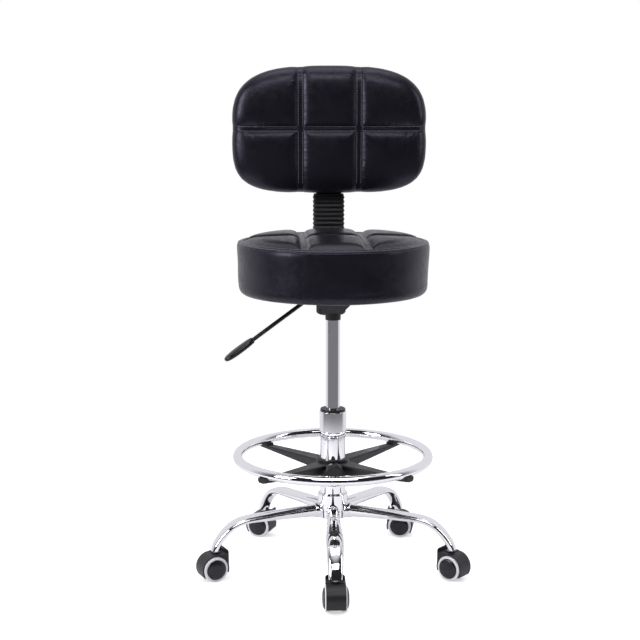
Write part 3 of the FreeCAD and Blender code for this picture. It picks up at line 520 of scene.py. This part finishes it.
def seat_cell_depth(co):
    radius = math.hypot(co.x, co.y)
    beside = min(abs(abs(co.x) - CHANNEL_SIDE), abs(co.y)) - STRIP_HALF
    return min(beside, RIM_LINE - radius)

def seat_is_sewn(co):
    if co.z < seat_low[2] + 0.013:
        return True
    return co.z > SEAT_SEAM + 0.002 and seat_cell_depth(co) < 0.001

print("seat radius", round(SEAT_RADIUS, 4), "seam height", round(SEAT_SEAM, 4))

# %% Sewing lines for the seat's leather
def measure(material, operation, first, second=None):
    node = add_node(material, "ShaderNodeMath", operation=operation)
    for place, value in enumerate((first, second)):
        if isinstance(value, (int, float)):
            node.inputs[place].default_value = value
        elif value is not None:
            join(material, value, node.inputs[place])
    return node.outputs[0]

def distance_to(material, value, line):
    return measure(material, "ABSOLUTE", measure(material, "SUBTRACT", value, line))

def axes_of(material):
    split = add_node(material, "ShaderNodeSeparateXYZ")
    join(material, object_place(material), split.inputs[0])
    return split.outputs["X"], split.outputs["Y"], split.outputs["Z"]

def seat_sewing(material):
    x, y, z = axes_of(material)
    squares = [measure(material, "POWER", axis, 2) for axis in (x, y)]
    radius = measure(material, "SQRT", measure(material, "ADD", *squares))
    off_channel = distance_to(material, measure(material, "ABSOLUTE", x), CHANNEL_SIDE)
    side_lines = distance_to(material, off_channel, STRIP_HALF)
    cross_lines = distance_to(material, measure(material, "ABSOLUTE", y), STRIP_HALF)
    on_strip = measure(material, "MULTIPLY", measure(material, "SUBTRACT", radius, RIM_LINE), 8)
    inside = measure(material, "SUBTRACT", STRIP_HALF, off_channel)
    inside = measure(material, "MULTIPLY", inside, 8)
    cross_lines = measure(material, "MAXIMUM", cross_lines, inside)
    inner = measure(material, "MINIMUM", side_lines, cross_lines)
    inner = measure(material, "MAXIMUM", inner, on_strip)
    rim_inner = distance_to(material, radius, RIM_LINE)
    below = measure(material, "MULTIPLY", measure(material, "SUBTRACT", SEAT_SEAM + 0.003, z), 4)
    top_lines = measure(material, "MAXIMUM", measure(material, "MINIMUM", inner, rim_inner), below)
    edge_seam = distance_to(material, z, SEAT_SEAM)
    in_middle = measure(material, "SUBTRACT", RIM_LINE + 0.004, radius)
    in_middle = measure(material, "MULTIPLY", in_middle, 4)
    edge_seam = measure(material, "MAXIMUM", edge_seam, in_middle)
    return spread(material, measure(material, "MINIMUM", top_lines, edge_seam), 0.0, 0.0013)

seat_leather = make_leather("seat_leather", seat_sewing)

# %% Fill and shape the seat
def swell(depth, reach):
    return math.exp(-max(depth, 0.0) / reach)

def shape_seat(piece):
    ripple = random.Random(4)
    phases = [ripple.uniform(0, 6.28) for _ in range(6)]
    for vertex in piece.data.vertices:
        co = vertex.co
        radius = math.hypot(co.x, co.y)
        if co.z > SEAT_SEAM - 0.004:
            depth = seat_cell_depth(co)
            groove = SEAT_GROOVE * swell(depth, 0.0075)
            if radius > RIM_LINE:
                groove = RIM_GROOVE * max(0.0, (SEAT_RADIUS - radius) / RIM_STRIP)
            elif RIM_LINE - radius < 0.03:
                near_rim = swell(RIM_LINE - radius, 0.006)
                groove = groove * (1 - near_rim) + RIM_GROOVE * near_rim
            along = co.y if abs(abs(co.x) - CHANNEL_SIDE) < abs(co.y) else co.x
            pucker = SEAT_PUCKER * math.sin(along * 620 + phases[0])
            pucker *= math.sin(along * 171 + phases[1])
            fade = swell(abs(depth - 0.006), 0.005)
            co.z -= groove * min(1.0, (co.z - SEAT_SEAM + 0.004) / 0.006) + pucker * fade
        elif co.z > seat_low[2] + 0.02 and radius > 0.1:
            angle = math.atan2(co.y, co.x)
            wave = math.sin(3 * angle + phases[2]) * math.sin(co.z * 70 + phases[3])
            wave += 0.5 * math.sin(7 * angle + phases[4]) * math.sin(co.z * 110 + phases[5])
            push = 1 + 0.0006 * wave / radius
            co.x *= push
            co.y *= push

def fill_out(piece, half_width):
    widest = max(abs(vertex.co.x) for vertex in piece.data.vertices)
    grow = half_width / widest
    for vertex in piece.data.vertices:
        vertex.co.x *= grow
        vertex.co.y *= grow

def reach_down(piece, bottom, below):
    lowest = min(vertex.co.z for vertex in piece.data.vertices)
    for vertex in piece.data.vertices:
        if vertex.co.z < below:
            share = (below - vertex.co.z) / (below - lowest)
            vertex.co.z -= share * (lowest - bottom)

seat_pad = even_copy("seat_cushion", "seat_pad", 0.0045, 0.002)
blow_up(seat_pad, seat_is_sewn, 4.0, 0.005)
refine(seat_pad)
fill_out(seat_pad, SEAT_RADIUS)
reach_down(seat_pad, seat_low[2] - 0.001, seat_low[2] + 0.03)
shape_seat(seat_pad)
finish_piece(seat_pad, "seat", seat_leather)
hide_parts("seat_cushion")

# %% [markdown]
# ### Stitches
# One stitch is a short round-ended thread, modelled once and copied along each row.
# Every copy is dropped onto the leather and turned to lie along the row, half sunk in.

# %% Stitching tools
def stitch_mesh():
    bpy.ops.object.select_all(action="DESELECT")
    bpy.ops.mesh.primitive_cylinder_add(vertices=6, radius=0.0007, depth=0.0034)
    stitch = bpy.context.object
    bpy.ops.object.mode_set(mode="EDIT")
    bpy.ops.mesh.select_all(action="SELECT")
    bpy.ops.transform.rotate(value=math.pi / 2, orient_axis="Y", center_override=(0, 0, 0))
    bpy.ops.mesh.select_mode(type="FACE")
    bpy.ops.mesh.select_all(action="DESELECT")
    bpy.ops.object.mode_set(mode="OBJECT")
    for face in stitch.data.polygons:
        face.select = abs(face.normal.x) > 0.9
    bpy.ops.object.mode_set(mode="EDIT")
    bpy.ops.mesh.inset(thickness=0.0002, depth=0.0004, use_individual=True)
    bpy.ops.object.mode_set(mode="OBJECT")
    bake_place(stitch)
    points = [vertex.co.copy() for vertex in stitch.data.vertices]
    faces = [tuple(face.vertices) for face in stitch.data.polygons]
    bpy.data.objects.remove(stitch)
    return points, faces

def sew_rows(name, piece, rows, shoot, pitch=0.0052):
    surface = BVHTree.FromObject(piece, bpy.context.evaluated_depsgraph_get())
    points, faces = stitch_mesh()
    all_points, all_faces = [], []
    for row in rows:
        length = sum((b - a).length for a, b in zip(row, row[1:]))
        count = max(1, int(length / pitch))
        for index in range(count):
            spot, heading = along_row(row, (index + 0.5) / count)
            origin, ray = shoot(spot)
            hit, normal, _, _ = surface.ray_cast(origin, ray)
            if hit is None:
                continue
            side = normal.cross(heading).normalized()
            ahead = side.cross(normal).normalized()
            turn = Matrix((ahead, side, normal)).transposed()
            first = len(all_points)
            all_points += [hit + normal * 0.0001 + turn @ point for point in points]
            all_faces += [tuple(first + i for i in face) for face in faces]
    mesh = bpy.data.meshes.new(name)
    mesh.from_pydata(all_points, [], all_faces)
    thread = bpy.data.objects.new(name, mesh)
    bpy.context.scene.collection.objects.link(thread)
    pick_only(thread)
    bpy.ops.object.shade_smooth()
    return thread

def along_row(row, share):
    lengths = [(b - a).length for a, b in zip(row, row[1:])]
    left = share * sum(lengths)
    for a, b, length in zip(row, row[1:], lengths):
        if left <= length:
            return a.lerp(b, left / length), (b - a).normalized()
        left -= length
    return row[-1].copy(), (row[-1] - row[-2]).normalized()

# %% Seat stitches
def seat_rows():
    inset = STRIP_HALF - 0.0014
    rows = []
    for side in (-1, 1):
        for edge in (-inset, inset):
            x = side * CHANNEL_SIDE + edge
            reach = math.sqrt(RIM_LINE ** 2 - x ** 2) - 0.001
            for start, end in ((-reach, -STRIP_HALF), (STRIP_HALF, reach)):
                rows.append([Vector((x, start, 0.72)), Vector((x, end, 0.72))])
        y = side * inset
        reach = math.sqrt(RIM_LINE ** 2 - y ** 2) - 0.001
        inner, outer = CHANNEL_SIDE - STRIP_HALF, CHANNEL_SIDE + STRIP_HALF
        for start, end in ((-reach, -outer), (-inner, inner), (outer, reach)):
            rows.append([Vector((start, y, 0.72)), Vector((end, y, 0.72))])
    for radius in (RIM_LINE + 0.0014, SEAT_RADIUS - 0.0028):
        circle = [math.radians(3 * step) for step in range(121)]
        rows.append([Vector((radius * math.cos(a), radius * math.sin(a), 0.72)) for a in circle])
    return rows

def from_above(spot):
    return spot, Vector((0, 0, -1))

seat_stitching = sew_rows("seat_stitching", seat_pad, seat_rows(), from_above)
finish_piece(seat_stitching, "seat", black_thread)

# %% [markdown]
# ### Backrest cushion
# The backrest is a rounded pad with two upright strips and one level strip. It is
# filled the same way, and its channels are pressed in along the surface normal, so
# they also run round its edges.

# %% Backrest measures
back_low, back_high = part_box("back_cushion")
BACK_MIDDLE = (back_low[2] + back_high[2]) / 2 + 0.002
BACK_HALF = (back_high[0] - back_low[0]) / 2
BACK_GROOVE = 0.0068
BACK_PUCKER = 0.0003

def level_half(x):
    share = min(1.0, max(0.0, (abs(x) - 0.125) / 0.04))
    return 0.0024 + (STRIP_HALF - 0.0024) * share

def back_cell_depth(co):
    beside_upright = abs(abs(co.x) - CHANNEL_SIDE) - STRIP_HALF
    return min(beside_upright, abs(co.z - BACK_MIDDLE) - level_half(co.x))

def back_is_sewn(co):
    return co.y > back_high[1] - 0.012 or back_cell_depth(co) < 0.001

print("backrest", [round(v, 3) for v in back_low], [round(v, 3) for v in back_high])

# %% Sewing lines for the backrest's leather
def back_sewing(material):
    x, y, z = axes_of(material)
    off_channel = distance_to(material, measure(material, "ABSOLUTE", x), CHANNEL_SIDE)
    upright = distance_to(material, off_channel, STRIP_HALF)
    share = spread(material, measure(material, "ABSOLUTE", x), 0.125, 0.165, 0.0024, STRIP_HALF)
    level = distance_to(material, distance_to(material, z, BACK_MIDDLE), share)
    inside = measure(material, "SUBTRACT", STRIP_HALF, off_channel)
    level = measure(material, "MAXIMUM", level, measure(material, "MULTIPLY", inside, 8))
    lines = measure(material, "MINIMUM", upright, level)
    behind = measure(material, "SUBTRACT", y, back_high[1] - 0.006)
    behind = measure(material, "MULTIPLY", behind, 4)
    return spread(material, measure(material, "MAXIMUM", lines, behind), 0.0, 0.0013)

back_leather = make_leather("back_leather", back_sewing)

# %% Fill and shape the backrest
def shape_back(piece):
    normals = [vertex.normal.copy() for vertex in piece.data.vertices]
    for vertex, normal in zip(piece.data.vertices, normals):
        co = vertex.co
        front = min(1.0, max(0.0, (back_high[1] - 0.004 - co.y) / 0.02))
        depth = back_cell_depth(co)
        groove = BACK_GROOVE * swell(depth, 0.009)
        off_middle = abs(co.z - BACK_MIDDLE)
        edge = max(abs(co.x) / BACK_HALF, off_middle / (0.5 * (back_high[2] - back_low[2])))
        groove *= 1 - 0.55 * max(0.0, (edge - 0.8) / 0.2)
        along = co.z if abs(abs(co.x) - CHANNEL_SIDE) < off_middle else co.x
        pucker = BACK_PUCKER * math.sin(along * 600) * math.sin(along * 163 + 1)
        pucker *= swell(abs(depth - 0.006), 0.005)
        vertex.co = co - normal * (groove + pucker) * front

def widen(piece, half_width):
    widest = max(abs(vertex.co.x) for vertex in piece.data.vertices)
    for vertex in piece.data.vertices:
        vertex.co.x *= half_width / widest

back_pad = even_copy("back_cushion", "back_pad", 0.0045, 0.003)
blow_up(back_pad, back_is_sewn, 4.0, 0.007)
refine(back_pad)
widen(back_pad, BACK_HALF)
shape_back(back_pad)
finish_piece(back_pad, "back", back_leather)
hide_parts("back_cushion")

# %% Backrest stitches
def back_rows():
    inset = STRIP_HALF - 0.0014
    y = back_low[1] - 0.05
    tall = 0.5 * (back_high[2] - back_low[2]) - 0.022
    wide = BACK_HALF - 0.014
    rows = []
    for side in (-1, 1):
        for edge in (-inset, inset):
            x = side * CHANNEL_SIDE + edge
            for start, end in ((-tall, -STRIP_HALF), (STRIP_HALF, tall)):
                ends = (BACK_MIDDLE + start, BACK_MIDDLE + end)
                rows.append([Vector((x, y, height)) for height in ends])
        z = BACK_MIDDLE + side * inset
        inner, outer = CHANNEL_SIDE - STRIP_HALF, CHANNEL_SIDE + STRIP_HALF
        for start, end in ((-wide, -outer), (-inner, inner), (outer, wide)):
            rows.append([Vector((start, y, z)), Vector((end, y, z))])
    return rows

def from_front(spot):
    return spot, Vector((0, 1, 0))

back_stitching = sew_rows("back_stitching", back_pad, back_rows(), from_front)
finish_piece(back_stitching, "back", black_thread)

# %% [markdown]
# ### Pleated sleeve
# The sleeve hides the back bar. A rounded rectangle is extruded upwards in small steps
# that swell and shrink in turn, then every ring is moved onto the bar's own path:
# level, round the bend, upright. A subdivision surface rounds the pleats.

# %% Sleeve along the bar
sleeve_low, sleeve_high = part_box("back_bellows")
bar_low, bar_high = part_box("back_bar")
BAR_THICK = 0.006
BAR_BACK = bar_high[1] - BAR_THICK / 2
BAR_LEVEL = bar_low[2] + BAR_THICK / 2
BEND = 0.040

def on_bar(travel, level):
    bend_length = 0.5 * math.pi * BEND
    if travel < level:
        return Vector((0, sleeve_low[1] + travel, BAR_LEVEL)), Vector((0, 0, 1))
    if travel < level + bend_length:
        angle = (travel - level) / BEND
        normal = Vector((0, -math.sin(angle), math.cos(angle)))
        return Vector((0, BAR_BACK - BEND, BAR_LEVEL + BEND)) - normal * BEND, normal
    rise = travel - level - bend_length
    return Vector((0, BAR_BACK, BAR_LEVEL + BEND + rise)), Vector((0, -1, 0))

def make_sleeve():
    half_width = (sleeve_high[0] - sleeve_low[0]) / 2
    half_depth = sleeve_high[1] - BAR_BACK
    level = BAR_BACK - BEND - sleeve_low[1]
    total = level + 0.5 * math.pi * BEND + sleeve_high[2] - BAR_LEVEL - BEND
    steps = 2 * round(total / 0.0092)
    bpy.ops.object.select_all(action="DESELECT")
    bpy.ops.mesh.primitive_plane_add(size=2)
    sleeve = bpy.context.object
    sleeve.name = "pleated_sleeve"
    sleeve.scale = (half_width, half_depth, 1)
    bake_place(sleeve)
    bpy.ops.object.mode_set(mode="EDIT")
    bpy.ops.mesh.select_all(action="SELECT")
    bpy.ops.mesh.bevel(offset=0.007, segments=3, affect="VERTICES")
    groove = 0.0050
    shrink = (1 - groove / half_width, 1 - groove / half_depth, 1)
    grow = (1 / shrink[0], 1 / shrink[1], 1)
    for step in range(steps):
        bpy.ops.mesh.extrude_region_move(TRANSFORM_OT_translate={"value": (0, 0, total / steps)})
        bpy.ops.transform.resize(value=grow if step % 2 else shrink)
    bpy.ops.object.mode_set(mode="OBJECT")
    for vertex in sleeve.data.vertices:
        centre, normal = on_bar(vertex.co.z, level)
        vertex.co = centre + Vector((vertex.co.x, 0, 0)) + normal * vertex.co.y
    tidy_mesh(sleeve)
    rounding = sleeve.modifiers.new("round_pleats", "SUBSURF")
    rounding.levels = 2
    rounding.render_levels = 2
    apply_modifiers(sleeve)
    pick_only(sleeve)
    bpy.ops.object.shade_smooth()
    return sleeve

pleated_sleeve = make_sleeve()
finish_piece(pleated_sleeve, "back", sleeve_rubber)
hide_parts("back_bellows")

# %% [markdown]
# ### Dust cover
# A thin black cloth is stretched under the seat board and hides the plywood. It starts
# as a flat disc, and a box the size of the steel plate is cut out of its middle.

# %% Dust cover
def make_dust_cover():
    plate_low, plate_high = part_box("seat_plate")
    radius = (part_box("seat_board")[1][0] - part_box("seat_board")[0][0]) / 2 + 0.006
    margin = 0.003
    bpy.ops.object.select_all(action="DESELECT")
    place = (0, 0, plate_high[2] - 0.0005)
    bpy.ops.mesh.primitive_cylinder_add(vertices=96, radius=radius, depth=0.0006, location=place)
    cover = bpy.context.object
    cover.name = "dust_cover"
    bake_place(cover)
    middle = [(a + b) / 2 for a, b in zip(plate_low, plate_high)]
    width = plate_high[0] - plate_low[0] + 2 * margin
    length = plate_high[1] - plate_low[1] + 2 * margin
    bpy.ops.mesh.primitive_cube_add(
        size=1, location=(middle[0], middle[1], plate_high[2]), scale=(width, length, 0.02))
    hole = bpy.context.object
    cut = cover.modifiers.new("plate_hole", "BOOLEAN")
    cut.operation = "DIFFERENCE"
    cut.object = hole
    apply_modifiers(cover)
    bpy.data.objects.remove(hole)
    return cover, radius, math.pi * radius ** 2 - width * length

def make_cover_cloth():
    cloth = new_finish("dust_cover_cloth", (0.01, 0.01, 0.011), 0.9)
    fibres = noise(cloth, 900, 3)
    colour = blend_colours(cloth, fibres, (0.006, 0.006, 0.007), (0.02, 0.02, 0.022))
    drive(cloth, "Base Color", colour)
    drive(cloth, "Normal", bump(cloth, fibres, 0.0002, 0.8))
    return cloth

dust_cover, cover_radius, cover_area = make_dust_cover()
finish_piece(dust_cover, "seat", make_cover_cloth())

# %% [markdown]
# ### Leg collars
# Where each leg meets the hub it sits in a short chromed collar. One ring is modelled
# round the X axis and copied to the five legs, whose directions come from the caster stems.

# %% Leg collars
def leg_ends():
    low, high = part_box("caster_stems")
    stems = frame["nodes"]["caster_stems"].data.vertices
    top = [vertex.co for vertex in stems if vertex.co.z > high[2] - 0.001]
    return [math.atan2(co.y, co.x) for co in top]

def make_leg_collars():
    hub_low, hub_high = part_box("base_hub")
    hub_radius = (hub_high[0] - hub_low[0]) / 2
    height = hub_low[2] + 0.0145
    angles = []
    for angle in sorted(leg_ends()):
        if not angles or angle - angles[-1] > 0.5:
            angles.append(angle)
    collars = []
    for angle in angles:
        bpy.ops.object.select_all(action="DESELECT")
        bpy.ops.mesh.primitive_cylinder_add(vertices=40, radius=1, depth=1)
        collar = bpy.context.object
        collar.scale = (0.0152, 0.0142, 0.013)
        collar.rotation_euler = (0, math.pi / 2, 0)
        collar.location = (hub_radius + 0.0025, 0, height)
        bake_place(collar)
        collar.rotation_euler = (0, 0, angle)
        bake_place(collar)
        collars.append(collar)
    bpy.ops.object.select_all(action="DESELECT")
    for collar in collars:
        collar.select_set(True)
    bpy.context.view_layer.objects.active = collars[0]
    bpy.ops.object.join()
    whole = bpy.context.object
    whole.name = "leg_collars"
    rounding = whole.modifiers.new("rounded_edges", "BEVEL")
    rounding.width = 0.0022
    rounding.segments = 3
    apply_modifiers(whole)
    bpy.ops.object.shade_smooth_by_angle(angle=math.radians(35))
    return whole

leg_collars = make_leg_collars()
finish_piece(leg_collars, "base", chrome_plate)
